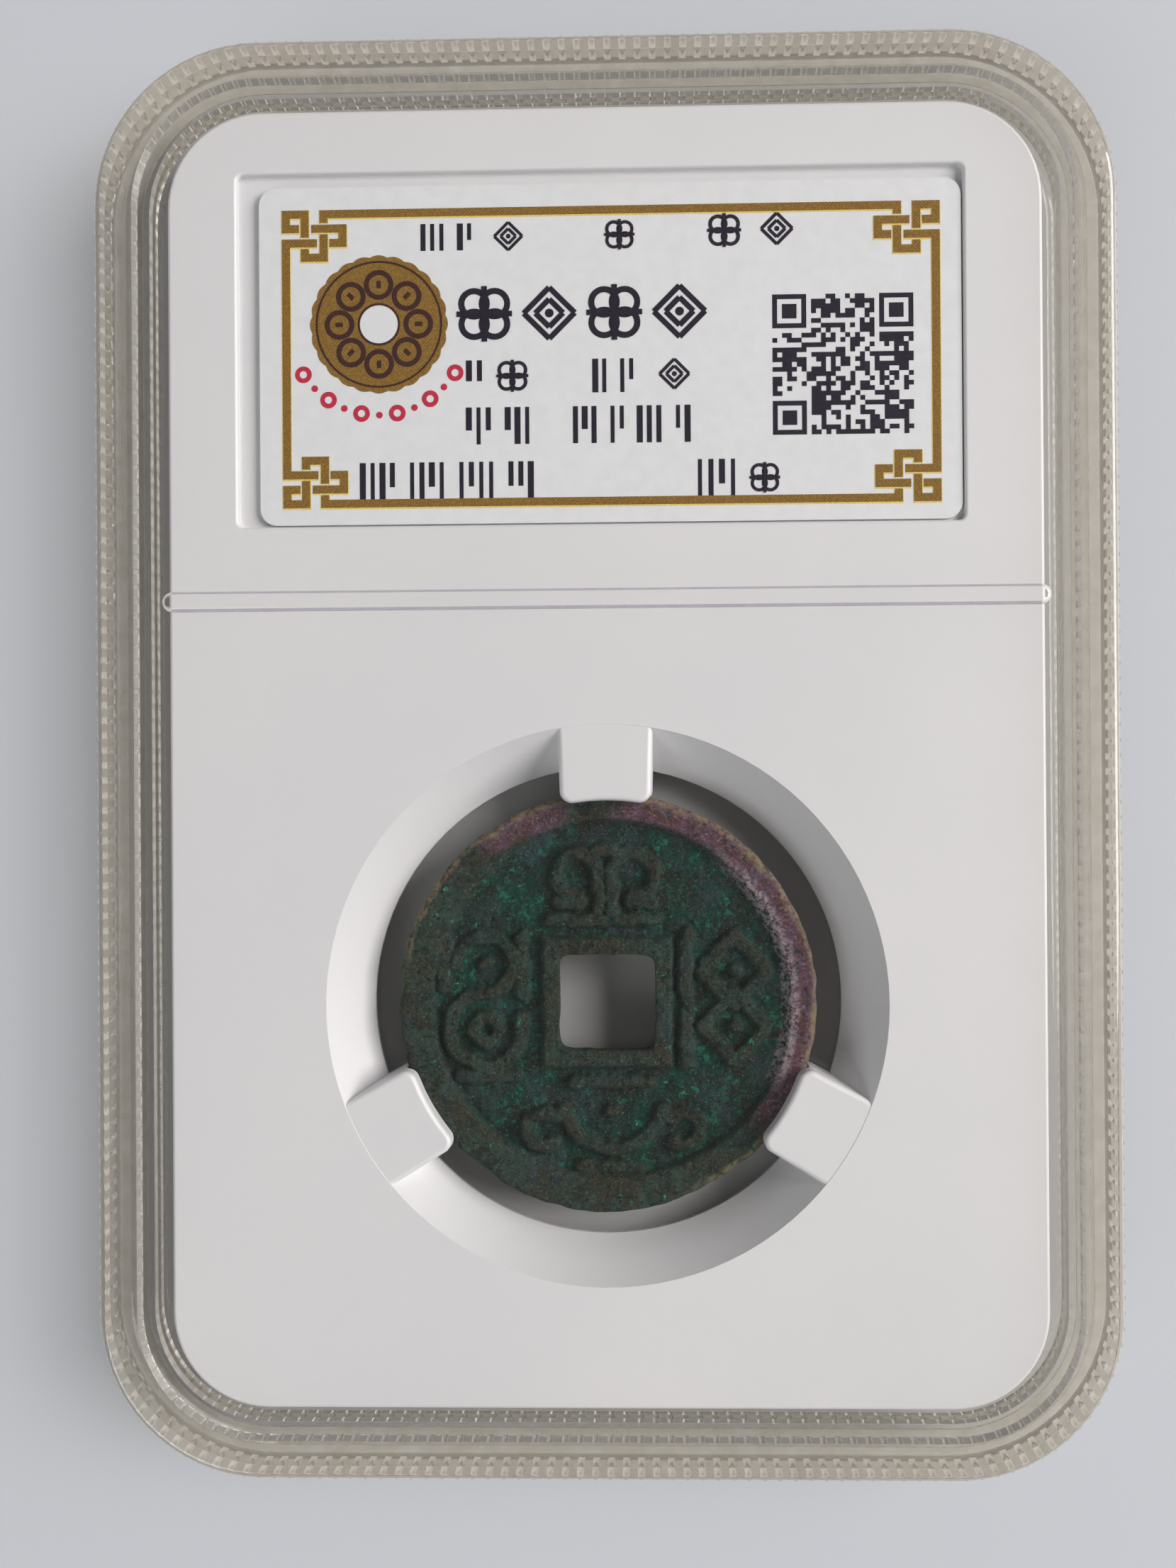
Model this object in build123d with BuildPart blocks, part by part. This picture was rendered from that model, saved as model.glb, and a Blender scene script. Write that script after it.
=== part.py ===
from build123d import *
import os
from math import atan2, degrees

# Graded coin slab: two clear shells, a white insert, a printed label and a cast coin with a square hole.
# Millimetres, +X to the right of the face, +Y to the top of the label, +Z out of the front window.
# The origin is under the middle of the slab, on the plane of the stacking foot that it lies on.

os.makedirs("parts", exist_ok=True)

# Slab outline, over the crests of the grip ribs
slab_width = 60.0
slab_height = 84.6
slab_depth = 8.0
slab_corner = 9.8
edge_round = 0.45

# Grip ribs round the side wall
grip_pitch = 0.9
grip_width = 0.42
grip_length = 0.6
grip_height = 0.15
grip_end_gap = 0.65

# Front stacking rim, window and cross rib
rim_width = 2.4
rim_height = 0.9
rim_draft = 8.0
front_window = 1.15
cavity_inset = 3.05
cross_rib_overrun = 0.2
cross_rib_width = 1.2
cross_rib_height = 0.3
cross_rib_drop = 4.5
cross_rib_round = 0.25

# Stacking foot, which drops inside the rim of the slab below, and back window
foot_width = 1.2
foot_height = 0.6
foot_clearance = 0.2
foot_draft = 8.0
back_window = 1.3
back_window_recess = 0.3

# Tongue and groove that join the two shells
parting_height = 3.9
tongue_inset = 1.4
tongue_width = 0.9
tongue_depth = 1.1
joint_clearance = 0.05

# Hairline that is left between the faces of a shell and of what closes or lies on it
face_gap = 0.03

# White insert: it stands clear of the front shell's cavity walls and lies in a close pocket of the back shell
insert_side_gap = 1.05
insert_end_gap = 0.75
insert_edge_round = 0.2
pocket_clearance = 0.25
insert_face_clearance = 0.1

# Coin well in the insert: a cone that runs down to a short straight land
well_base_distance = 23.8
well_mouth_radius = 16.65
well_throat_radius = 14.15
well_land = 0.35

# Prongs that stand in from the well and hold the coin by its edge
prong_count = 3
prong_first_angle = 90
prong_root_width = 5.65
prong_tip_width = 5.0
prong_overlap = 0.45
prong_draft = 1.5
prong_step = 0.03
prong_corner = 0.7
prong_edge_round = 0.3

# Coin
coin_radius = 12.6
coin_thickness = 1.7
coin_depth = 1.4
coin_clearance = 0.05
coin_edge_round = 0.35
coin_rim_width = 2.1
coin_field_depth = 0.6
coin_hole = 5.8
coin_hole_rim_width = 1.05

# Label card and the recess that it lies in
label_width = 41.6
label_height = 20.1
label_thickness = 0.4
label_corner = 1.0
label_clearance = 0.1
label_play_x = 1.4
label_play_y = 0.9
recess_x = -0.23
recess_top_distance = 3.7
recess_depth = 0.6
recess_corner = 0.4
recess_edge_round = 0.2

# Levels, from the table up
back_window_face = foot_height + back_window_recess
pocket_floor = back_window_face + back_window
window_face = slab_depth - rim_height
cavity_roof = window_face - front_window
insert_back = pocket_floor + face_gap
front_shell_base = parting_height + face_gap
insert_face = cavity_roof - insert_face_clearance
recess_floor = insert_face - recess_depth
prong_top = insert_face - prong_step
coin_top = insert_face - coin_depth
coin_bottom = coin_top - coin_thickness

# How near an edge must lie to a level to be picked for rounding
level_band = 0.01

# Sizes and places that follow from the fits
insert_width = slab_width - 2 * (cavity_inset + insert_side_gap)
insert_height = slab_height - 2 * (cavity_inset + insert_end_gap)
insert_corner = slab_corner - cavity_inset - insert_side_gap
foot_inset = rim_width + foot_clearance
seat_radius = coin_radius + coin_clearance
lip_radius = coin_radius - prong_overlap
prong_edge_reach = (well_throat_radius + well_mouth_radius) / 2
coin_border = coin_hole + 2 * coin_hole_rim_width
well_y = well_base_distance - insert_height / 2
recess_width = label_width + label_play_x
recess_height = label_height + label_play_y
recess_y = insert_height / 2 - recess_top_distance - recess_height / 2
cross_rib_length = insert_width + 2 * cross_rib_overrun
cross_rib_y = recess_y - recess_height / 2 - cross_rib_drop
label_x = recess_x + label_play_x / 2 - label_clearance
label_y = recess_y - label_play_y / 2 + label_clearance
prong_angles = [prong_first_angle + n * 360 / prong_count for n in range(prong_count)]


def outline(inset, mode=Mode.ADD):
    """Rounded rectangle that stands a given distance inside the crests of the grip ribs."""
    width = slab_width - 2 * inset
    height = slab_height - 2 * inset
    RectangleRounded(width, height, slab_corner - inset, mode=mode)


def edges_at(body, level):
    """Edges of a body that lie on a level."""
    return body.edges().filter_by_position(Axis.Z, level - level_band, level + level_band)


def ring(outer_inset, width):
    """Band between two outlines, the outer one a given distance inside the crests."""
    outline(outer_inset)
    outline(outer_inset + width, mode=Mode.SUBTRACT)


# Plan of the grip ribs: half-round bars that are sunk into the wall up to their height
with BuildSketch() as grip_path:
    outline(grip_length / 2)
grip_line = grip_path.wire()
grip_count = round(grip_line.length / grip_pitch)
grip_places = []
for n in range(grip_count):
    spot = (n + 0.5) / grip_count
    heading = grip_line % spot
    across = degrees(atan2(heading.Y, heading.X)) + 90
    grip_places.append(Location(grip_line @ spot, (0, 0, across)))
with BuildSketch() as grip_plan:
    with Locations(*grip_places):
        SlotOverall(grip_length, grip_width)


# Front shell: a clear lid with a raised stacking rim, a window and a cross rib
with BuildPart() as front_shell:
    with BuildSketch(Plane.XY.offset(front_shell_base)):
        outline(grip_height)
    extrude(amount=slab_depth - front_shell_base)
    fillet(front_shell.edges().group_by(Axis.Z)[-1], edge_round)
    with BuildSketch(Plane.XY.offset(slab_depth)):
        outline(rim_width)
    extrude(amount=-rim_height, taper=rim_draft, mode=Mode.SUBTRACT)
    with BuildSketch(Plane.XY.offset(front_shell_base)):
        outline(cavity_inset)
    extrude(amount=cavity_roof - front_shell_base, mode=Mode.SUBTRACT)
    with BuildSketch(Plane.XY.offset(front_shell_base)):
        ring(tongue_inset, tongue_width)
    extrude(amount=-tongue_depth - face_gap)
    with BuildSketch(Plane.XY.offset(window_face)):
        with Locations((0, cross_rib_y)):
            SlotOverall(cross_rib_length, cross_rib_width)
    extrude(amount=cross_rib_height)
    fillet(edges_at(front_shell, window_face + cross_rib_height), cross_rib_round)
    with BuildSketch(Plane.XY.offset(front_shell_base)):
        add(grip_plan.sketch)
    extrude(amount=slab_depth - grip_end_gap - front_shell_base)
front_shell.part.label = "front_shell"
export_step(front_shell.part, "parts/front_shell.step")


# Back shell: a clear tray with a pocket for the insert, a groove for the tongue and a stacking foot
with BuildPart() as back_shell:
    with BuildSketch(Plane.XY.offset(foot_height)):
        outline(grip_height)
    extrude(amount=parting_height - foot_height)
    fillet(back_shell.edges().group_by(Axis.Z)[0], edge_round)
    with BuildSketch(Plane.XY.offset(foot_height)):
        ring(foot_inset, foot_width)
    extrude(amount=-foot_height, taper=foot_draft)
    with BuildSketch(Plane.XY.offset(foot_height)):
        outline(foot_inset + foot_width)
    extrude(amount=back_window_recess, mode=Mode.SUBTRACT)
    with BuildSketch(Plane.XY.offset(pocket_floor)):
        RectangleRounded(
            insert_width + 2 * pocket_clearance,
            insert_height + 2 * pocket_clearance,
            insert_corner + pocket_clearance,
        )
    extrude(amount=parting_height - pocket_floor, mode=Mode.SUBTRACT)
    with BuildSketch(Plane.XY.offset(parting_height)):
        ring(tongue_inset - joint_clearance, tongue_width + 2 * joint_clearance)
    extrude(amount=-tongue_depth - joint_clearance, mode=Mode.SUBTRACT)
    with BuildSketch(Plane.XY.offset(foot_height + grip_end_gap)):
        add(grip_plan.sketch)
    extrude(amount=parting_height - foot_height - grip_end_gap)
back_shell.part.label = "back_shell"
export_step(back_shell.part, "parts/back_shell.step")


# Insert: a white plate with the label recess, the coin well and its prongs
with BuildPart() as insert:
    with BuildSketch(Plane.XY.offset(insert_back)):
        RectangleRounded(insert_width, insert_height, insert_corner)
    extrude(amount=insert_face - insert_back)
    fillet(insert.edges().group_by(Axis.Z)[-1], insert_edge_round)
    with BuildSketch(Plane.XY.offset(recess_floor)):
        with Locations((recess_x, recess_y)):
            RectangleRounded(recess_width, recess_height, recess_corner)
    extrude(amount=recess_depth, mode=Mode.SUBTRACT)
    recess_mouth = insert.faces().filter_by(Plane.XY).sort_by(Axis.Z)[-1].inner_wires()[0]
    fillet(recess_mouth.edges(), recess_edge_round)
    with BuildSketch(Plane.XZ.offset(-well_y)) as well_section:
        with BuildLine():
            Polyline(
                (0, insert_back),
                (well_throat_radius, insert_back),
                (well_throat_radius, insert_back + well_land),
                (well_mouth_radius, insert_face),
                (0, insert_face),
                close=True,
            )
        make_face()
    revolve(axis=Axis((0, well_y, 0), (0, 0, 1)), mode=Mode.SUBTRACT)
    for angle in prong_angles:
        prong_plane = Plane(Location((0, well_y, prong_top), (0, 0, angle)))
        with BuildSketch(prong_plane) as prong_plan:
            with BuildLine():
                Polyline(
                    (lip_radius / 2, -prong_tip_width / 2),
                    (well_mouth_radius, -prong_root_width / 2),
                    (well_mouth_radius, prong_root_width / 2),
                    (lip_radius / 2, prong_tip_width / 2),
                    close=True,
                )
            make_face()
            Circle(lip_radius, mode=Mode.SUBTRACT)
            fillet(prong_plan.vertices().sort_by(Axis.X)[:2], prong_corner)
        extrude(amount=insert_back - prong_top, taper=-prong_draft)
    with BuildSketch(Plane.XY.offset(insert_back)):
        with Locations((0, well_y)):
            Circle(seat_radius)
    extrude(amount=coin_top - insert_back, mode=Mode.SUBTRACT)
    well_centre = Vector(0, well_y, prong_top)
    prong_edges = edges_at(insert, prong_top).filter_by(
        lambda edge: (edge.center() - well_centre).length < prong_edge_reach
    )
    fillet(prong_edges, prong_edge_round)
insert.part.label = "insert"
export_step(insert.part, "parts/insert.step")


# Label: a printed card that lies on the recess floor, pushed to its right and lower walls
with BuildPart() as label_card:
    with BuildSketch(Plane.XY.offset(recess_floor)):
        with Locations((label_x, label_y)):
            RectangleRounded(label_width, label_height, label_corner)
    extrude(amount=label_thickness)
label_card.part.label = "label_card"
export_step(label_card.part, "parts/label_card.step")


# Coin: cast bronze, with a raised rim, a square hole and a raised border round the hole
with BuildPart() as coin:
    with BuildSketch(Plane.XY.offset(coin_bottom)):
        with Locations((0, well_y)):
            Circle(coin_radius)
    extrude(amount=coin_thickness)
    fillet(coin.edges(), coin_edge_round)
    with BuildSketch(Plane.XY.offset(coin_top), Plane.XY.offset(coin_bottom + coin_field_depth)):
        with Locations((0, well_y)):
            Circle(coin_radius - coin_rim_width)
            Rectangle(coin_border, coin_border, mode=Mode.SUBTRACT)
    extrude(amount=-coin_field_depth, mode=Mode.SUBTRACT)
    with BuildSketch(Plane.XY.offset(coin_bottom)):
        with Locations((0, well_y)):
            Rectangle(coin_hole, coin_hole)
    extrude(amount=coin_thickness, mode=Mode.SUBTRACT)
coin.part.label = "coin"
export_step(coin.part, "parts/coin.step")
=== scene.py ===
import random
from math import atan2, cos, degrees, hypot, pi, radians, sin

import bmesh
import bpy
from mathutils import Matrix, Vector, noise


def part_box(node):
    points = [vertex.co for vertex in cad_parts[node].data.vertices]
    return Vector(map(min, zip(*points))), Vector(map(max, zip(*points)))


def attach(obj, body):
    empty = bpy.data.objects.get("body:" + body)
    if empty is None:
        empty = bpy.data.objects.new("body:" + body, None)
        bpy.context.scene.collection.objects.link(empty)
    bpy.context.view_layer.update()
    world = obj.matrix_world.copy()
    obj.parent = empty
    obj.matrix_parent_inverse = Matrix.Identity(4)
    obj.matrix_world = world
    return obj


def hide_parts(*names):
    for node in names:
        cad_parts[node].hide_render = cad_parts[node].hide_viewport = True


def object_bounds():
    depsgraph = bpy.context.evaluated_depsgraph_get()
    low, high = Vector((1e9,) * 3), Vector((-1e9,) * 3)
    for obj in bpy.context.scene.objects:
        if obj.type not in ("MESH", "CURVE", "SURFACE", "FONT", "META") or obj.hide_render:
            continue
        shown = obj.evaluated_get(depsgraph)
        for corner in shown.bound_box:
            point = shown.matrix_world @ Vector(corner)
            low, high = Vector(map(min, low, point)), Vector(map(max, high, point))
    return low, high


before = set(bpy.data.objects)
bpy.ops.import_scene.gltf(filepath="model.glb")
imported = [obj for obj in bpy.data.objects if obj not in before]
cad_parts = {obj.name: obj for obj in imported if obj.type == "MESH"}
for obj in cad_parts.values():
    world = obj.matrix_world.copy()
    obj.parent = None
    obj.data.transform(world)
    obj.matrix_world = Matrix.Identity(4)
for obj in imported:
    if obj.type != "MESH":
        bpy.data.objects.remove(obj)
cad_low, cad_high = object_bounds()
MM = 0.001


# ---------------------------------------------------------------- Back shell and front shell
# The two halves of the case: clear polystyrene from a polished mould, pressed together. The windows are
# smooth, and the side wall is ribbed for grip and breaks up what lies behind it. Both are merged copies of
# the CAD shells; only the sides of the cross rib differ, which lean in a little.
def linear(code):
    """A hex sRGB colour as linear RGBA."""
    levels = [int(code[k : k + 2], 16) / 255 for k in (1, 3, 5)]
    return tuple(v / 12.92 if v <= 0.04045 else ((v + 0.055) / 1.055) ** 2.4 for v in levels) + (1.0,)


def new_material(name):
    """A material with no nodes yet."""
    made = bpy.data.materials.new(name)
    made.use_nodes = True
    made.node_tree.nodes.clear()
    return made


def add_node(material, kind, inputs=(), stops=(), **settings):
    """Adds a node with its settings. An input is a value, or another node's output that is linked to it."""
    made = material.node_tree.nodes.new("ShaderNode" + kind)
    for name, value in settings.items():
        setattr(made, name, value)
    for name, value in dict(inputs).items():
        if isinstance(value, bpy.types.NodeSocket):
            material.node_tree.links.new(value, made.inputs[name])
        else:
            made.inputs[name].default_value = value
    for place, colour in stops:
        made.color_ramp.elements.new(place).color = colour
    if stops:
        made.color_ramp.elements.remove(made.color_ramp.elements[0])
        made.color_ramp.elements.remove(made.color_ramp.elements[-1])
    return made


def pass_lamps(material, solid, lamp_tint):
    """Lets shadow and diffuse rays go straight through a clear solid, so that what it holds is lit."""
    rays = add_node(material, "LightPath")
    lighting = {0: rays.outputs["Is Shadow Ray"], 1: rays.outputs["Is Diffuse Ray"]}
    unseen = add_node(material, "Math", lighting, operation="MAXIMUM")
    passing = add_node(material, "BsdfTransparent", {"Color": linear(lamp_tint)})
    choice = {0: unseen.outputs[0], 1: solid.outputs[0], 2: passing.outputs[0]}
    either = add_node(material, "MixShader", choice)
    add_node(material, "OutputMaterial", {"Surface": either.outputs[0]})


polystyrene_ior = 1.57
# Polished polystyrene: clear as glass, with the faintest ripple of a moulded sheet in its reflections
ripples_per_mm, ripple_depth = 0.26, 0.2 * MM
window_plastic = new_material("clear_polystyrene_polished")
place = add_node(window_plastic, "TexCoord")
pattern = {"Vector": place.outputs["Object"], "Scale": ripples_per_mm / MM, "Detail": 2.0}
ripple = add_node(window_plastic, "TexNoise", pattern)
shallow = {"Height": ripple.outputs[0], "Strength": 0.05, "Distance": ripple_depth}
sink = add_node(window_plastic, "Bump", shallow)
look = {"Color": linear("#FDFCFA"), "Roughness": 0.02, "IOR": polystyrene_ior}
glass = add_node(window_plastic, "BsdfGlass", look | {"Normal": sink.outputs[0]})
pass_lamps(window_plastic, glass, "#FFFFFF")

# Real scuffs are finer than these, which are as coarse as they have to be to show
scuffs_per_mm, scuff_depth = 0.9, 0.05 * MM


def scuffed_plastic(name, clear_share, roughness, dull="#E9E4DA", pale="#F7F3EC"):
    """The same plastic where the mould is not polished: a satin that catches light and turns milky."""
    made = new_material(name)
    spot = add_node(made, "TexCoord")
    pattern = {"Vector": spot.outputs["Object"], "Scale": scuffs_per_mm / MM, "Detail": 4.0, "Roughness": 0.6}
    scuffs = add_node(made, "TexNoise", pattern)
    tones = ((0.3, linear(dull)), (0.7, linear(pale)))
    milk = add_node(made, "ValToRGB", {0: scuffs.outputs[0]}, stops=tones)
    shallow = {"Height": scuffs.outputs[0], "Strength": 0.1, "Distance": scuff_depth}
    scuff_bump = add_node(made, "Bump", shallow)
    look = {"Base Color": milk.outputs[0], "Roughness": roughness, "IOR": polystyrene_ior}
    clear = {"Transmission Weight": clear_share, "Normal": scuff_bump.outputs[0]}
    satin = add_node(made, "BsdfPrincipled", look | clear)
    pass_lamps(made, satin, "#F6F5F3")
    return made


# A light satin on the rim, a duller one on the grips, and a violet-grey one on the cross rib's sides, which
# is painted shade standing for their dark reflections
rim_plastic = scuffed_plastic("clear_polystyrene_rim", 0.93, 0.04)
grip_plastic = scuffed_plastic("clear_polystyrene_satin", 0.68, 0.1)
# The clear plastic of the rib's sides gets a violet-grey tint: painted shade that darkens them into two fine
# lines
rib_painted_shade_plastic = scuffed_plastic("clear_polystyrene_rib_painted_shade", 0.75, 0.08, "#A89EAC", "#B5ABB8")
shell_plastics = (window_plastic, rim_plastic, grip_plastic, rib_painted_shade_plastic)
polished, rim_satin, grip_satin, rib_side_painted_shade = range(len(shell_plastics))

shell_half_width, shell_half_length = (cad_high.x - cad_low.x) / 2, (cad_high.y - cad_low.y) / 2
shell_corner = 9.8 * MM
grip_band, polished_inset = 0.25 * MM, 2.6 * MM  # how far in from the outline the grips and the satin reach
pane_levels = (0.9, 2.2, 5.95, 7.1)  # millimetres: the outer and inner faces of the back and the front window
level_slack, flat_from, rib_top_from = 0.02, 0.999, 0.85  # millimetres, and upward shares of a face's normal
weld, sharp_from = 0.001 * MM, radians(28)
# The rib across the front window: its sides lean in a little, and show as two fine lines with bright ends;
# the lines' darkness is painted shade in the violet-grey satin of the sides
rib_y, rib_reach, rib_lean = 9.3 * MM, 25.5 * MM, 0.2
rib_foot = pane_levels[-1] * MM
rib_clear = 0.01  # millimetres over the pane from which a face or a point belongs to the rib


def inset_from_outline(spot):
    """How far a point lies inside the slab's round-cornered outline."""
    reach_x = max(abs(spot.x) - shell_half_width + shell_corner, 0)
    reach_y = max(abs(spot.y) - shell_half_length + shell_corner, 0)
    if reach_x and reach_y:
        return shell_corner - hypot(reach_x, reach_y)
    return shell_corner - max(reach_x, reach_y)


for name in ("back_shell", "front_shell"):
    bm = bmesh.new()
    bm.from_mesh(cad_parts[name].data)
    bmesh.ops.remove_doubles(bm, verts=bm.verts, dist=weld)
    for face in bm.faces:
        face.smooth = True
        centre = face.calc_center_median()
        level = centre.z / MM
        inset = inset_from_outline(centre)
        at_pane = min(abs(level - pane) for pane in pane_levels) < level_slack
        over_pane = level > pane_levels[-1] + rib_clear
        # The rib's long sides take the violet-grey satin, whose tint is painted shade; its ends take the
        # milky grip satin
        if over_pane and inset > polished_inset and face.normal.z < rib_top_from:
            face.material_index = grip_satin if abs(centre.x) > rib_reach else rib_side_painted_shade
        elif inset > polished_inset or (at_pane and abs(face.normal.z) > flat_from):
            face.material_index = polished
        else:
            face.material_index = grip_satin if inset < grip_band else rim_satin
    for vert in bm.verts:
        if vert.co.z > rib_foot + rib_clear * MM and inset_from_outline(vert.co) > polished_inset:
            spine = Vector((max(-rib_reach, min(rib_reach, vert.co.x)), rib_y, vert.co.z))
            vert.co += (spine - vert.co).normalized() * rib_lean * (vert.co.z - rib_foot)
    for edge in bm.edges:
        edge.smooth = edge.calc_face_angle(pi) < sharp_from
    shell_mesh = bpy.data.meshes.new(name + "_clear")
    bm.to_mesh(shell_mesh)
    bm.free()
    for plastic in shell_plastics:
        shell_mesh.materials.append(plastic)
    shell = bpy.data.objects.new(name + "_clear", shell_mesh)
    bpy.context.scene.collection.objects.link(shell)
    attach(shell, name)
    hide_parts(name)


# ---------------------------------------------------------------- Insert
# One plate of white impact styrene with the label recess and the coin well: moulded with a fine satin face.
# Slow, faint clouding of the tone and a very fine grain are all that shows on it.
clouds_per_mm, grains_per_mm, grain_depth = 0.045, 9.0, 0.02 * MM
satin_white = new_material("white_styrene_satin")
place = add_node(satin_white, "TexCoord")
where = place.outputs["Object"]
clouding = add_node(satin_white, "TexNoise", {"Vector": where, "Scale": clouds_per_mm / MM, "Detail": 3.0})
tones = ((0.3, linear("#D8D8DB")), (0.7, linear("#DFDEE0")))
tone = add_node(satin_white, "ValToRGB", {0: clouding.outputs[0]}, stops=tones)
grain = add_node(satin_white, "TexNoise", {"Vector": where, "Scale": grains_per_mm / MM, "Detail": 1.0})
shallow = {"Height": grain.outputs[0], "Strength": 0.08, "Distance": grain_depth}
grain_bump = add_node(satin_white, "Bump", shallow)
look = {"Base Color": tone.outputs[0], "Roughness": 0.45, "IOR": 1.55}
body = add_node(satin_white, "BsdfPrincipled", look | {"Normal": grain_bump.outputs[0]})
add_node(satin_white, "OutputMaterial", {"Surface": body.outputs[0]})
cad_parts["insert"].data.materials[0] = satin_white


# ---------------------------------------------------------------- Label card
# Coated card of 0.4 mm, cut with round corners and printed by a laser printer in gold, violet-black and red.
# The toner lies on the card as a thin flat film, a hair proud of the surface.
fibres_per_mm = 1.5
card_dark, card_light = "#DCDDE0", "#E1E2E5"
coated_card = new_material("coated_card")
place = add_node(coated_card, "TexCoord")
pattern = {"Vector": place.outputs["Object"], "Scale": fibres_per_mm / MM, "Detail": 3.0}
fibres = add_node(coated_card, "TexNoise", pattern)
tones = ((0.35, linear(card_dark)), (0.65, linear(card_light)))
tone = add_node(coated_card, "ValToRGB", {0: fibres.outputs[0]}, stops=tones)
body = add_node(coated_card, "BsdfPrincipled", {"Base Color": tone.outputs[0], "Roughness": 0.55, "IOR": 1.5})
add_node(coated_card, "OutputMaterial", {"Surface": body.outputs[0]})
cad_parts["label_card"].data.materials[0] = coated_card

dots_per_mm = 7.0


def toner(name, dark, light):
    """Printed toner: a colour that is broken up by the fine slanting screen of the printer."""
    made = new_material(name)
    spot = add_node(made, "TexCoord")
    slanted = {"Vector": spot.outputs["Object"], "Rotation": (0, 0, pi / 4), "Scale": (1, 1, 0)}
    slant = add_node(made, "Mapping", slanted)
    dots = {"Vector": slant.outputs[0], "Scale": dots_per_mm / MM, "Randomness": 0.35}
    screen = add_node(made, "TexVoronoi", dots)
    tones = ((0.25, linear(dark)), (0.7, linear(light)))
    mixed = add_node(made, "ValToRGB", {0: screen.outputs["Distance"]}, stops=tones)
    look = {"Base Color": mixed.outputs[0], "Roughness": 0.6, "Specular IOR Level": 0.2}
    film = add_node(made, "BsdfPrincipled", look)
    add_node(made, "OutputMaterial", {"Surface": film.outputs[0]})
    return made


def add_piece(name, bm, material, body):
    """Turns a mesh drawn in millimetres into a piece in the frame that rides on a body."""
    bmesh.ops.scale(bm, vec=(MM, MM, MM), verts=bm.verts)
    bmesh.ops.recalc_face_normals(bm, faces=bm.faces)
    mesh = bpy.data.meshes.new(name)
    bm.to_mesh(mesh)
    bm.free()
    mesh.materials.append(material)
    piece = bpy.data.objects.new(name, mesh)
    bpy.context.scene.collection.objects.link(piece)
    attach(piece, body)
    return piece


# Millimetres: the toner's thickness, and the hairline left between two bars that would else share an edge
toner_film, hairline = 0.012, 0.005
card_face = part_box("label_card")[1].z / MM


def lay_bar(bm, start, end, width, level=0.0):
    """Lays a flat bar of toner along a line on the card."""
    along = Vector(end) - Vector(start)
    middle = (Vector(start) + Vector(end)) / 2
    place = Matrix.Translation((middle.x, middle.y, card_face + level + toner_film / 2))
    turn = Matrix.Rotation(atan2(along.y, along.x), 4, "Z")
    stretch = Matrix.Diagonal((along.length, width, toner_film, 1))
    bmesh.ops.create_cube(bm, size=1, matrix=place @ turn @ stretch)


def lay_disc(bm, centre, radius, segments, level=0.0):
    """Lays a flat disc of toner on the card."""
    place = Matrix.Translation((centre[0], centre[1], card_face + level + toner_film / 2))
    size = {"radius1": radius, "radius2": radius, "depth": toner_film}
    bmesh.ops.create_cone(bm, cap_ends=True, segments=segments, matrix=place, **size)


def spin_round(bm, geometry, centre, steps):
    """Turns verts and edges once round an upright axis and closes the seam."""
    whole = {"cent": (centre[0], centre[1], 0), "axis": (0, 0, 1), "angle": 2 * pi}
    bmesh.ops.spin(bm, geom=geometry, steps=steps, use_merge=True, **whole)


def lay_hoop(bm, centre, radius, width, level=0.0, steps=48):
    """Lays a ring of toner on the card."""
    inner, outer = centre[0] + radius - width / 2, centre[0] + radius + width / 2
    low, high = card_face + level, card_face + level + toner_film
    corners = ((inner, low), (outer, low), (outer, high), (inner, high))
    section = [bm.verts.new((x, centre[1], z)) for x, z in corners]
    sides = [bm.edges.new((section[k], section[(k + 1) % 4])) for k in range(4)]
    spin_round(bm, section + sides, centre, steps)


# Key-fret frame: a plain line whose four corners are knots of interlaced strokes. It is printed twice, a gold
# line over a wider yellow one that is set a little low.
frame_line, frame_shadow, shadow_drop = 0.48, 0.1, 0.05
frame_left, frame_right = -18.82, 19.68
frame_bottom, frame_top = 15.17, 32.43
knot_column, knot_row = 1.13, 0.86
knot_gap, knot_span = 0.1, 4.2


def knot_strokes():
    """The five strokes of one corner knot, in columns and rows counted inwards from the corner."""
    clear = (frame_line / 2 + knot_gap) / knot_row
    return [
        [(0, knot_span), (0, 2), (1.65, 2)],
        [(0.7, 1), (0, 1), (0, 0), (1, 0), (1, 2 - clear)],
        [(1, 2 + clear), (1, 3), (2, 3), (2, 1 + clear)],
        [(2, 1 - clear), (2, 0), (knot_span, 0)],
        [(1.35, 1), (3, 1), (3, 2), (2.3, 2)],
    ]


def lay_path(bm, points, width, level=0.0):
    """Lays a bent line with square corners; each bar stops a hairline short of the next one."""
    last = len(points) - 2
    for k in range(last + 1):
        start, end = Vector(points[k]), Vector(points[k + 1])
        along = (end - start).normalized()
        grown = along * (width / 2 if k else 0)
        trimmed = along * (width / 2 + hairline if k < last else 0)
        lay_bar(bm, start - grown, end - trimmed, width, level)


def lay_frame(bm, line, drop, level):
    """Lays the whole frame, set low by a drop: four knots, and the straight lines that join them."""
    bottom, top = frame_bottom - drop, frame_top - drop
    for corner_x, column in ((frame_left, knot_column), (frame_right, -knot_column)):
        for corner_y, row in ((top, -knot_row), (bottom, knot_row)):
            for stroke in knot_strokes():
                points = [(corner_x + column * c, corner_y + row * r) for c, r in stroke]
                lay_path(bm, points, line, level)
    reach_x, reach_y = knot_span * knot_column + hairline, knot_span * knot_row + hairline
    for y in (top, bottom):
        lay_bar(bm, (frame_left + reach_x, y), (frame_right - reach_x, y), line, level)
    for x in (frame_left, frame_right):
        lay_bar(bm, (x, bottom + reach_y), (x, top - reach_y), line, level)


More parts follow.
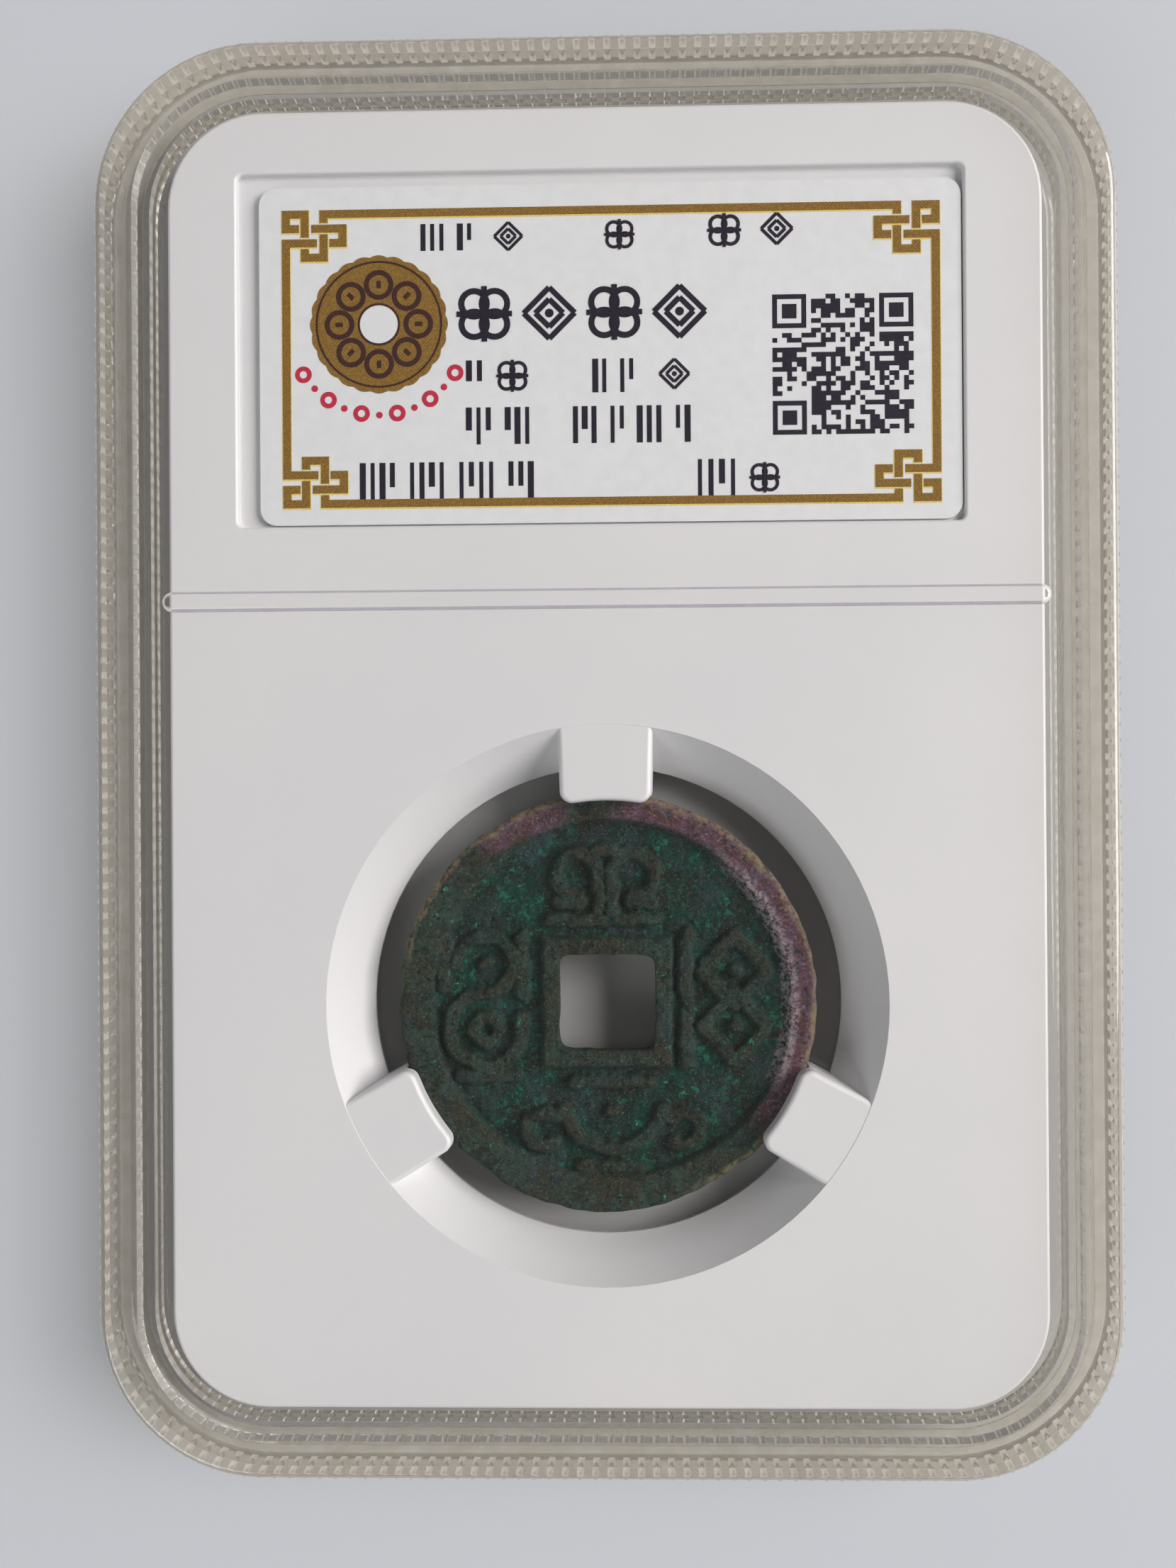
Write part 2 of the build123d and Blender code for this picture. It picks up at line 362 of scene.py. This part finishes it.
gold_toner = toner("gold_toner", "#6E4F24", "#96742C")
yellow_toner = toner("yellow_toner", "#D9BE58", "#E6D79A")
bm = bmesh.new()
lay_frame(bm, frame_line + frame_shadow, shadow_drop, 0.0)
add_piece("label_frame_yellow", bm, yellow_toner, "label_card")
bm = bmesh.new()
lay_frame(bm, frame_line, 0.0, toner_film)
add_piece("label_frame_gold", bm, gold_toner, "label_card")

# Rosette: a gold disc with a scalloped edge, a dark ring and eight petals round a centre left as bare card
rosette = Vector((-13.29, 25.82, 0))
rosette_radius, scallop, scallops = 4.12, 0.12, 24
ring_radius, ring_line = 3.72, 0.12
petals, petal_orbit, petal_radius, petal_line = 8, 2.35, 0.74, 0.3
stamen_begin, stamen_end, stamen_line = 2.15, 2.6, 0.26
eye_ring_radius, eye_ring_line, eye_radius = 1.2, 0.14, 1.13
bm = bmesh.new()
lay_disc(bm, rosette, rosette_radius, 8 * scallops)
for vert in bm.verts:
    spoke = vert.co - rosette
    swell = scallop * abs(cos(atan2(spoke.y, spoke.x) * scallops / 2))
    vert.co.xy = (rosette + spoke * (1 - scallop / rosette_radius + swell / rosette_radius)).xy
add_piece("label_rosette_disc", bm, gold_toner, "label_card")
brown_toner = toner("brown_toner", "#2C1414", "#3E2019")
bm = bmesh.new()
lay_hoop(bm, rosette, ring_radius, ring_line, level=toner_film)
for k in range(petals):
    angle = 2 * pi / petals * k
    spoke = Vector((cos(angle), sin(angle), 0))
    begin, end = (rosette + stamen_begin * spoke).xy, (rosette + stamen_end * spoke).xy
    lay_hoop(bm, rosette + petal_orbit * spoke, petal_radius, petal_line, level=toner_film, steps=24)
    lay_bar(bm, begin, end, stamen_line, toner_film)
lay_hoop(bm, rosette, eye_ring_radius, eye_ring_line, level=toner_film, steps=32)
add_piece("label_rosette_petals", bm, brown_toner, "label_card")
bare_card = toner("bare_card", card_dark, card_light)
bm = bmesh.new()
lay_disc(bm, rosette, eye_radius, 40, toner_film)
add_piece("label_rosette_centre", bm, bare_card, "label_card")

# Red arc of small rings and dots, in turn, under the rosette
arc_marks, arc_radius, arc_begin, arc_sweep = 11, 5.4, 213, 114
dot_radius, small_ring_radius, small_ring_line = 0.2, 0.36, 0.28
red_toner = toner("red_toner", "#B01F3C", "#C8344C")
bm = bmesh.new()
for k in range(arc_marks):
    angle = radians(arc_begin + arc_sweep * k / (arc_marks - 1))
    spot = (rosette.x + arc_radius * cos(angle), rosette.y + arc_radius * sin(angle))
    if k % 2:
        lay_disc(bm, spot, dot_radius, 24)
    else:
        lay_hoop(bm, spot, small_ring_radius, small_ring_line, steps=24)
add_piece("label_red_dots", bm, red_toner, "label_card")

# Code block: square modules set at random, which stand for no message, and three corner squares
black_toner = toner("violet_black_toner", "#0D0518", "#160D22")
code_left, code_bottom, code_size, code_count = 10.05, 18.95, 8.3, 29
module = code_size / code_count
marker = 7  # modules along a corner square
dark_share, module_fill = 0.52, 0.99
chance = random.Random(7)
bm = bmesh.new()


def in_corner(column, row):
    """Whether a module lies in one of the three corner squares or in the margin of one module round them."""
    near_left, near_right = column <= marker, column >= code_count - marker - 1
    near_bottom, near_top = row <= marker, row >= code_count - marker - 1
    return (near_left and (near_top or near_bottom)) or (near_right and near_top)


for row in range(code_count):
    column = 0
    while column < code_count:
        run = 0
        while column + run < code_count and not in_corner(column + run, row) and chance.random() < dark_share:
            run += 1
        if run:
            x, y = code_left + column * module, code_bottom + (row + 0.5) * module
            lay_bar(bm, (x, y), (x + run * module, y), module * module_fill)
        column += run + 1
for column, row in ((0, 0), (0, code_count - marker), (code_count - marker, code_count - marker)):
    x, y = code_left + column * module, code_bottom + row * module
    near, centre, far = 0.5 * module, marker / 2 * module, (marker - 0.5) * module
    outer = [(x + module + hairline, y + near), (x + far, y + near), (x + far, y + far)]
    outer += [(x + near, y + far), (x + near, y)]
    lay_path(bm, outer, module)
    lay_bar(bm, (x + 2 * module, y + centre), (x + (marker - 2) * module, y + centre), 3 * module)
add_piece("label_code_block", bm, black_toner, "label_card")

# Plain ornaments and bars that stand in for lines of print: knots of four loops, lozenges and strokes. Their
# lines, loops and dots are shares of their size.
ornament_line, loop_line, loop_radius, loop_orbit = 0.1, 0.11, 0.23, 0.26
lozenge_reaches, lozenge_dot = (0.46, 0.25), 0.08


def lay_loops(bm, x, y, size):
    """Lays a knot of four loops in a square of the given size."""
    for n in range(4):
        angle = pi / 4 + pi / 2 * n
        spot = (x + loop_orbit * size * cos(angle), y + loop_orbit * size * sin(angle))
        lay_hoop(bm, spot, loop_radius * size, loop_line * size, level=toner_film * (n % 2), steps=24)
    reach, line = size / 2, ornament_line * size
    lay_bar(bm, (x - reach, y), (x + reach, y), line, 2 * toner_film)
    lay_bar(bm, (x, y - reach), (x, y + reach), line, 3 * toner_film)


def lay_lozenge(bm, x, y, size):
    """Lays two lozenges, one in the other, with a dot in the middle."""
    for share in lozenge_reaches:
        reach = share * size
        tips = [(x + reach * cos(pi / 2 * n), y + reach * sin(pi / 2 * n)) for n in range(5)]
        for n in range(4):
            lay_bar(bm, tips[n], tips[n + 1], ornament_line * size, toner_film * (n % 2))
    lay_disc(bm, (x, y), lozenge_dot * size, 20)


title_left, title_pitch, title_y, title_size = -7.0, 3.86, 26.35, 3.3
bm = bmesh.new()
for k in range(4):
    (lay_lozenge if k % 2 else lay_loops)(bm, title_left + title_pitch * k, title_y, title_size)
for x, y, size, lay in (
    (-5.55, 30.95, 1.8, lay_lozenge),
    (1.05, 30.95, 1.8, lay_loops),
    (7.25, 31.1, 2.0, lay_loops),
    (10.35, 31.15, 2.0, lay_lozenge),
    (-5.35, 22.65, 1.9, lay_loops),
    (4.25, 22.65, 1.9, lay_lozenge),
    (9.55, 16.45, 1.8, lay_loops),
):
    lay(bm, x, y, size)
add_piece("label_ornaments", bm, black_toner, "label_card")

# Rows of bars, top row first: the row's middle, the bars' height, how many bars stand together, and the spans
bar_rows = (
    (30.95, 1.6, 3, ((-10.9, -7.6),)),
    (22.6, 2.0, 2, ((-8.25, -7.0), (-0.7, 2.5))),
    (19.7, 2.2, 3, ((-8.25, -4.2), (-1.9, 1.4), (1.9, 5.3))),
    (16.4, 2.35, 4, ((-14.6, -4.0), (5.4, 8.0))),
)
bar_pitch, bar_widths = 0.58, (0.24, 0.3, 0.36)
foot_shares = (0.5, 0.5, 0.12)  # how far a bar reaches under its row's middle, picked at random
bm = bmesh.new()
for y, height, group, spans in bar_rows:
    for left, right in spans:
        count = round((right - left) / bar_pitch)
        for n in range(count):
            if n % (group + 1) < group:
                x = left + (n + 0.5) * (right - left) / count
                foot = height * chance.choice(foot_shares)
                lay_bar(bm, (x, y - foot), (x, y + height / 2), chance.choice(bar_widths))
add_piece("label_bar_rows", bm, black_toner, "label_card")


# ---------------------------------------------------------------- Coin
# Cast bronze with a square hole, poured in a clay mould and long buried: the relief is soft, the edge ragged.
# Its patina is dark olive and slate green, with malachite in the hollows and mauve and tan on the rim.
coin_low, coin_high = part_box("coin")
coin_x = (coin_low.x + coin_high.x) / 2 / MM
coin_y = (coin_low.y + coin_high.y) / 2 / MM
coin_top, coin_bottom = coin_high.z / MM, coin_low.z / MM
coin_radius = (coin_high.x - coin_low.x) / 2 / MM
hole_half, border_width, rim_width = 2.9, 1.0, 2.0
field_depth, stroke_half = 0.6, 0.4
back_rim_width, back_border_half = 2.2, 4.0
edge_wear, edge_nick, hole_wear = 0.16, 0.35, 0.07  # how deep the edge and the hole are worn and nicked
hole_squareness = 9  # the power that rounds the hole's corners
face_drop, edge_roll = 0.07, 0.3  # how far the face stays under the top, and how far it rolls off at the edge
roll_from, roll_width = 0.12, 0.36
wall_share, wall_bulge = 0.6, 0.1  # the upright walls' height against the full one, and their unevenness
skin = 0.001  # how near the top or the bottom plane a point counts as on it
face_roughness = ((0.08, 1.1, 0.3), (0.07, 0.38, 2.3), (0.06, 0.17, 5.3))  # height, size and seed
# The cuts along the face, the edge, the back and the wall of the hole, and the steps round the coin
coin_cuts, coin_steps = (96, 6, 40, 5), 450
# Stains on the rim. An arc is its two ends and the fades there, in degrees; a reach is a depth from the edge.
mauve_arcs, mauve_reach = ((1.0, (-38, 88, 12, 14)), (0.9, (102, 128, 8, 8))), 1.55
crust_arc, crust_far, crust_near = (-25, 48, 10, 20), 2.1, 1.15
earth_arc, earth_reach = (-60, 165, 30, 30), 0.32


def soft_step(value, width):
    """Rises smoothly from 0 to 1 as a value goes from minus to plus half the width."""
    t = min(1.0, max(0.0, value / width + 0.5))
    return t * t * (3 - 2 * t)


def on_arc(turn, begin, end, begin_fade, end_fade):
    """1 inside an arc in degrees, and less across the fades at its ends."""
    return soft_step(turn - begin, begin_fade) * soft_step(end - turn, end_fade)


def from_bar(x, y, x0, y0, x1, y1):
    """Distance from a point to a straight stroke."""
    dx, dy = x1 - x0, y1 - y0
    t = max(0.0, min(1.0, ((x - x0) * dx + (y - y0) * dy) / (dx * dx + dy * dy)))
    return hypot(x - x0 - t * dx, y - y0 - t * dy)


def from_arc(x, y, cx, cy, radius, begin, sweep):
    """Distance from a point to an arc that starts at an angle and turns through a sweep, in degrees."""
    angle = (degrees(atan2(y - cy, x - cx)) - begin) % 360
    if angle <= sweep:
        return abs(hypot(x - cx, y - cy) - radius)
    ends = [radians(begin), radians(begin + sweep)]
    return min(hypot(x - cx - radius * cos(a), y - cy - radius * sin(a)) for a in ends)


# Relief of the face: a cloud head above the hole, a moon and star below, joined lozenges and a scroll at the
# sides. An arc is its centre, radius, start and sweep in degrees; a bar is its two ends.
cloud_arcs = ((-1.75, 7.65, 1.3, -20, 290), (1.55, 7.65, 1.3, -90, 290), (-0.1, 8.3, 0.95, 20, 140))
cloud_bars = ((-0.45, 7.3, -0.45, 5.1), (0.35, 7.3, 0.35, 5.1), (-3.4, 4.95, 2.9, 4.95))
cloud_bars += ((-2.9, 6.0, -1.6, 6.0), (1.5, 6.0, 2.6, 6.0))
moon_arcs = ((0.3, -5.6, 3.1, 195, 150), (-3.9, -7.6, 1.0, 40, 270), (4.5, -7.6, 1.0, -130, 270))
moon_bars = ((0.2, -6.4, 0.4, -6.4), (-1.9, -4.75, 2.4, -4.75), (-1.6, -9.85, 2.0, -9.85))
lozenge_x, lozenge_ys, lozenge_half_width, lozenge_half_height = 7.6, (1.9, -1.45), 2.0, 2.1
lozenge_bars = ((4.75, 4.1, 4.75, -3.6),)
for y in lozenge_ys:
    turns = [pi / 2 * n for n in range(5)]
    tips = [(lozenge_x + lozenge_half_width * cos(t), y + lozenge_half_height * sin(t)) for t in turns]
    lozenge_bars += tuple(tips[n] + tips[n + 1] for n in range(4)) + ((lozenge_x, y, lozenge_x + 0.1, y),)
scroll_arcs = ((-7.3, 2.3, 1.7, -90, 270), (-7.3, -1.6, 2.2, 90, 290), (-7.3, -1.6, 0.75, 0, 360))
scroll_bars = ((-5.1, 3.9, -5.1, 0.4), (-9.6, 3.6, -9.9, 0.9), (-8.9, -4.4, -5.6, -4.4))
scroll_bars += ((-7.4, 2.4, -7.2, 2.4),)
relief_arcs = cloud_arcs + moon_arcs + scroll_arcs
relief_bars = cloud_bars + moon_bars + lozenge_bars + scroll_bars


def bump_noise(x, y, size, seed):
    """Noise of about plus or minus 1 with features of a given size."""
    return noise.noise(Vector((x / size, y / size, seed)))


def face_relief(x, y, angle, radius):
    """Height of the face at a point, from 0 on the field to 1 on the rim, with worn, uneven strokes."""
    rim_waver = 0.25 * sin(angle + 0.9) - 0.12 * sin(3 * angle) + 0.08 * bump_noise(x, y, 0.5, 9.1)
    rim_inner = coin_radius - rim_width + rim_waver
    height = soft_step(radius - rim_inner, 0.45)
    border = hole_half + border_width - max(abs(x), abs(y)) + 0.09 * bump_noise(x, y, 0.5, 7.7)
    height = max(height, 0.92 * soft_step(border, 0.35))
    if height < 1 and radius < rim_inner + 0.3:
        bent_x = x + 0.16 * bump_noise(x, y, 0.9, 12.5)
        bent_y = y + 0.16 * bump_noise(x, y, 0.9, 15.5)
        near = min(from_bar(bent_x, bent_y, *bar) for bar in relief_bars)
        near = min(near, min(from_arc(bent_x, bent_y, *arc) for arc in relief_arcs))
        worn = 0.84 + 0.2 * bump_noise(x, y, 1.6, 18.5) + 0.1 * bump_noise(x, y, 0.5, 21.5)
        height = max(height, worn * soft_step(stroke_half - near + 0.1 * bump_noise(x, y, 0.35, 24.5), 0.26))
    return height


bm = bmesh.new()
outline = [
    bm.verts.new((hole_half, 0, coin_top)),
    bm.verts.new((coin_radius, 0, coin_top)),
    bm.verts.new((coin_radius, 0, coin_bottom)),
    bm.verts.new((hole_half, 0, coin_bottom)),
]
sides = [bm.edges.new((outline[k], outline[(k + 1) % 4])) for k in range(4)]
for side, cuts in zip(sides, coin_cuts):
    bmesh.ops.subdivide_edges(bm, edges=[side], cuts=cuts)
spin_round(bm, list(bm.verts) + list(bm.edges), (0, 0), coin_steps)
relief_layer, stain_layer, earth_layer, crust_layer = (
    bm.verts.layers.float.new(name) for name in ("relief", "stain", "earth", "crust")
)
middle_z = (coin_top + coin_bottom) / 2
for vert in bm.verts:
    # Where the point lies between the worn wall of the hole and the worn edge
    angle = atan2(vert.co.y, vert.co.x)
    out_x, out_y = cos(angle), sin(angle)
    ragged = 0.5 + 0.5 * bump_noise(3.2 * out_x, 3.2 * out_y, 0.22, 3.1)
    nick = max(0.0, bump_noise(out_x, out_y, 0.16, 8.4)) ** 2
    reach = coin_radius - edge_wear * ragged - edge_nick * nick
    cornered = (abs(out_x) ** hole_squareness + abs(out_y) ** hole_squareness) ** (1 / hole_squareness)
    square = hole_half / cornered + hole_wear * bump_noise(out_x, out_y, 0.3, 1.7)
    share = (hypot(vert.co.x, vert.co.y) - hole_half) / (coin_radius - hole_half)
    radius = square + share * (reach - square)
    x, y = radius * out_x, radius * out_y
    # Its height: the relief on the face, a plain rim and border on the back, and a rough wall between
    upper, lower = vert.co.z > coin_top - skin, vert.co.z < coin_bottom + skin
    height = 1.0
    rough = sum(lift * bump_noise(x, y, size, seed) for lift, size, seed in face_roughness)
    edge = soft_step(radius - reach + roll_from, roll_width)
    if upper:
        height = face_relief(x, y, angle, radius)
        z = coin_top - field_depth * (1 - height) - face_drop + rough - edge_roll * edge * edge
        z = min(z, coin_top)
    elif lower:
        height = soft_step(radius - coin_radius + back_rim_width, 0.5)
        height = max(height, soft_step(back_border_half - max(abs(x), abs(y)), 0.4))
        z = coin_bottom + field_depth * (1 - height) + face_drop + rough + edge_roll * edge * edge
        z = max(z, coin_bottom)
    else:
        z = middle_z + (vert.co.z - middle_z) * wall_share
        bulge = wall_bulge * bump_noise(3 * out_x, 3 * out_y + vert.co.z, 0.3, 4.4)
        radius += bulge if share > 0.5 else -abs(bulge) / 2
        radius = min(radius, coin_radius)
        x, y = radius * out_x, radius * out_y
    vert.co = (x + coin_x, y + coin_y, z)
    # Masks for the patina: mauve on two arcs of the rim, tan earth at the edge, pale crust inside the rim
    turn = degrees(angle)
    streak = 0.55 * bump_noise(x, y, 1.4, 6.6)
    on_rim = 0 if lower else soft_step(radius - coin_radius + mauve_reach + 0.5 * streak, 0.5)
    at_edge = soft_step(radius - reach + earth_reach + 0.5 * streak, 0.3)
    depth = coin_radius - radius
    band = soft_step(crust_far - depth, 0.3) * soft_step(depth - crust_near, 0.4)
    vert[relief_layer] = height
    vert[stain_layer] = on_rim * max(share * on_arc(turn, *arc) for share, arc in mauve_arcs)
    vert[earth_layer] = at_edge * on_arc(turn, *earth_arc)
    vert[crust_layer] = band * on_arc(turn, *crust_arc)
bmesh.ops.recalc_face_normals(bm, faces=bm.faces)
for face in bm.faces:
    face.smooth = True

patina = new_material("cast_bronze_patina")
place = add_node(patina, "TexCoord")
where = place.outputs["Object"]
relief, stain, earth, crust = (
    add_node(patina, "Attribute", attribute_name=name).outputs["Fac"]
    for name in ("relief", "stain", "earth", "crust")
)


def blotches(size, low, high, detail=4.0):
    """A mask of blotches of about a size in millimetres, that rises from 0 to 1 between two noise levels."""
    pattern = {"Vector": where, "Scale": 1 / (size * MM), "Detail": detail, "Roughness": 0.65}
    cloud = add_node(patina, "TexNoise", pattern | {"Distortion": 0.6})
    return add_node(patina, "MapRange", {0: cloud.outputs[0], 1: low, 2: high}).outputs[0]


def cover(under, over, *masks):
    """Lays a colour over another where every one of the masks lets it."""
    shown = masks[0]
    for mask in masks[1:]:
        shown = add_node(patina, "Math", {0: shown, 1: mask}, operation="MULTIPLY").outputs[0]
    return add_node(patina, "Mix", {0: shown, 6: under, 7: over}, data_type="RGBA").outputs[2]


# From the metal up: olive and slate, mottling, green in the hollows, a blue-grey bloom, the paler raised
# parts, light and dark specks, malachite, and then the rim's mauve with its own specks, crust and earth.
hollow = add_node(patina, "Math", {0: 1.0, 1: relief}, operation="SUBTRACT").outputs[0]
colour = cover(linear("#191A14"), linear("#0D2320"), blotches(2.2, 0.4, 0.6))
colour = cover(colour, linear("#1C231D"), blotches(0.45, 0.47, 0.6, 6.0))
colour = cover(colour, linear("#06332C"), blotches(1.6, 0.44, 0.58, 5.0), hollow)
colour = cover(colour, linear("#29363A"), blotches(2.9, 0.5, 0.66))
raised = cover(linear("#312F24"), linear("#2C3D35"), blotches(2.0, 0.42, 0.58))
colour = cover(colour, raised, blotches(0.7, 0.38, 0.56, 5.0), relief)
colour = cover(colour, linear("#56635A"), blotches(0.13, 0.56, 0.72, 3.0))
colour = cover(colour, linear("#060A08"), blotches(0.2, 0.56, 0.66, 3.0))
colour = cover(colour, linear("#186650"), blotches(0.5, 0.54, 0.64, 6.0), blotches(1.7, 0.45, 0.58), hollow)
colour = cover(colour, linear("#2B9A78"), blotches(0.4, 0.62, 0.69, 6.0), blotches(2.3, 0.5, 0.6))
mauve = cover(linear("#5F465A"), linear("#523433"), blotches(1.1, 0.38, 0.64))
mauve = cover(mauve, linear("#8E7F86"), blotches(0.16, 0.54, 0.72, 3.0))
mauve = cover(mauve, linear("#2C1E24"), blotches(0.22, 0.54, 0.66))
colour = cover(colour, mauve, stain, blotches(0.35, 0.32, 0.5, 5.0))
colour = cover(colour, linear("#968C92"), crust, blotches(0.3, 0.42, 0.6, 6.0))
colour = cover(colour, linear("#7A6F57"), earth, blotches(0.45, 0.38, 0.58, 5.0))
pits_per_mm, pit_depth = 4.2, 0.12 * MM
pattern = {"Vector": where, "Scale": pits_per_mm / MM, "Detail": 6.0, "Roughness": 0.7}
pits = add_node(patina, "TexNoise", pattern)
pit_bump = add_node(patina, "Bump", {"Height": pits.outputs[0], "Strength": 0.55, "Distance": pit_depth})
dull = add_node(patina, "MapRange", {0: pits.outputs[0], 1: 0.35, 2: 0.65, 3: 0.7, 4: 0.95})
look = {"Base Color": colour, "Roughness": dull.outputs[0], "Specular IOR Level": 0.15}
body = add_node(patina, "BsdfPrincipled", look | {"Normal": pit_bump.outputs[0]})
add_node(patina, "OutputMaterial", {"Surface": body.outputs[0]})
coin = add_piece("cast_coin", bm, patina, "coin")
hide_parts("coin")


# ---------------------------------------------------------------- Stage
# A round cove of pale paper: a floor a hair under the foot's clear face, that sweeps up into a low wall.
# Near the slab the lamps light it; far away it shows its own pale tone, so that the ground stays even.
cove_reach, cove_height, cove_sweep, sweep_steps = 1.5, 0.9, 0.3, 6
floor_drop = 0.03 * MM
bm = bmesh.new()
profile = [bm.verts.new((0, 0, -floor_drop)), bm.verts.new((cove_reach - cove_sweep, 0, -floor_drop))]
for k in range(1, sweep_steps + 1):
    angle = pi / 2 * k / sweep_steps
    reach, rise = cove_reach - cove_sweep * (1 - sin(angle)), cove_sweep * (1 - cos(angle))
    profile.append(bm.verts.new((reach, 0, rise - floor_drop)))
profile.append(bm.verts.new((cove_reach, 0, cove_height)))
for k in range(len(profile) - 1):
    bm.edges.new((profile[k], profile[k + 1]))
spin_round(bm, list(bm.verts) + list(bm.edges), (0, 0), 64)
bmesh.ops.remove_doubles(bm, verts=bm.verts, dist=weld)
upright = 0.01  # a normal that rises less than this belongs to the wall, which faces inwards
for face in bm.faces:
    face.smooth = True
    outwards = face.normal.dot(face.calc_center_median()) > 0
    if face.normal.z < -upright or (abs(face.normal.z) <= upright and outwards):
        face.normal_flip()
cove_mesh = bpy.data.meshes.new("cove")
bm.to_mesh(cove_mesh)
bm.free()
cove = bpy.data.objects.new("cove", cove_mesh)
bpy.context.scene.collection.objects.link(cove)
paper = new_material("backdrop_paper")
sheet = add_node(paper, "BsdfPrincipled", {"Base Color": linear("#C4C6CA"), "Roughness": 0.9})
plain = add_node(paper, "Emission", {"Color": linear("#C9CBCF"), "Strength": 1.0})
rays = add_node(paper, "LightPath")
seen = rays.outputs["Is Camera Ray"]
for kind in ("Is Glossy Ray", "Is Transmission Ray"):
    seen = add_node(paper, "Math", {0: seen, 1: rays.outputs[kind]}, operation="MAXIMUM").outputs[0]
place = add_node(paper, "TexCoord")
away = add_node(paper, "VectorMath", {0: place.outputs["Object"]}, operation="LENGTH")
lit_reach, plain_reach = 0.15, 0.9  # metres from the slab: all lit up to the first, all plain from the second
far = add_node(paper, "MapRange", {0: away.outputs["Value"], 1: lit_reach, 2: plain_reach})
shown = add_node(paper, "Math", {0: seen, 1: far.outputs[0]}, operation="MULTIPLY")
ground = add_node(paper, "MixShader", {0: shown.outputs[0], 1: sheet.outputs[0], 2: plain.outputs[0]})
add_node(paper, "OutputMaterial", {"Surface": ground.outputs[0]})
cove_mesh.materials.append(paper)

# A weak white sky fills the shadows
sky_strength = 0.11
world = bpy.data.worlds.new("studio")
world.use_nodes = True
sky = world.node_tree.nodes["Background"]
sky.inputs["Color"].default_value = (1, 1, 1, 1)
sky.inputs["Strength"].default_value = sky_strength
bpy.context.scene.world = world


def soft_lamp(name, place, aim, width, height, watts, tint):
    """A rectangular soft box that points at a place."""
    lamp_data = bpy.data.lights.new(name, "AREA")
    lamp_data.shape = "RECTANGLE"
    lamp_data.size = width
    lamp_data.size_y = height
    lamp_data.energy = watts
    lamp_data.color = tint
    lamp = bpy.data.objects.new(name, lamp_data)
    lamp.location = place
    lamp.rotation_euler = (Vector(aim) - Vector(place)).to_track_quat("-Z", "Y").to_euler()
    bpy.context.scene.collection.objects.link(lamp)


# A broad window on the right that gives the shadows, and a weak fill on the lower left. Both stand outside
# the cone that the slab's flat panes mirror into the camera. Each is its place, aim, size, watts and tint.
middle = (cad_low + cad_high) / 2
soft_lamp("window_lamp", (0.94, 0.2, 0.72), middle, 0.7, 0.8, 18.8, (1.0, 0.985, 0.985))
soft_lamp("fill_lamp", (-0.62, -0.7, 0.66), middle, 0.7, 0.7, 4.2, (0.94, 0.97, 1.0))

camera_data = bpy.data.cameras.new("camera")
camera_data.lens = 43.94
camera_data.sensor_width = 36
camera = bpy.data.objects.new("camera", camera_data)
# The camera looks down on the slab from 119 mm: its place and aim in millimetres, and what is up for it
eye, aim, upwards = Vector((2.71, -2.08, 119.35)), Vector((-1.03, -1.60, 5.85)), Vector((0.0065, 1, 0))
back = (eye - aim).normalized()
right = upwards.cross(back).normalized()
turn = Matrix((right, back.cross(right), back)).transposed()
camera.matrix_world = Matrix.Translation(eye * MM) @ turn.to_4x4()
bpy.context.scene.collection.objects.link(camera)
bpy.context.scene.camera = camera
bpy.context.scene.view_settings.view_transform = "Standard"
# Rays cross up to a dozen clear faces on their way through the two shells
bpy.context.scene.cycles.max_bounces = 24
bpy.context.scene.cycles.transmission_bounces = 24
bpy.context.scene.cycles.transparent_max_bounces = 40
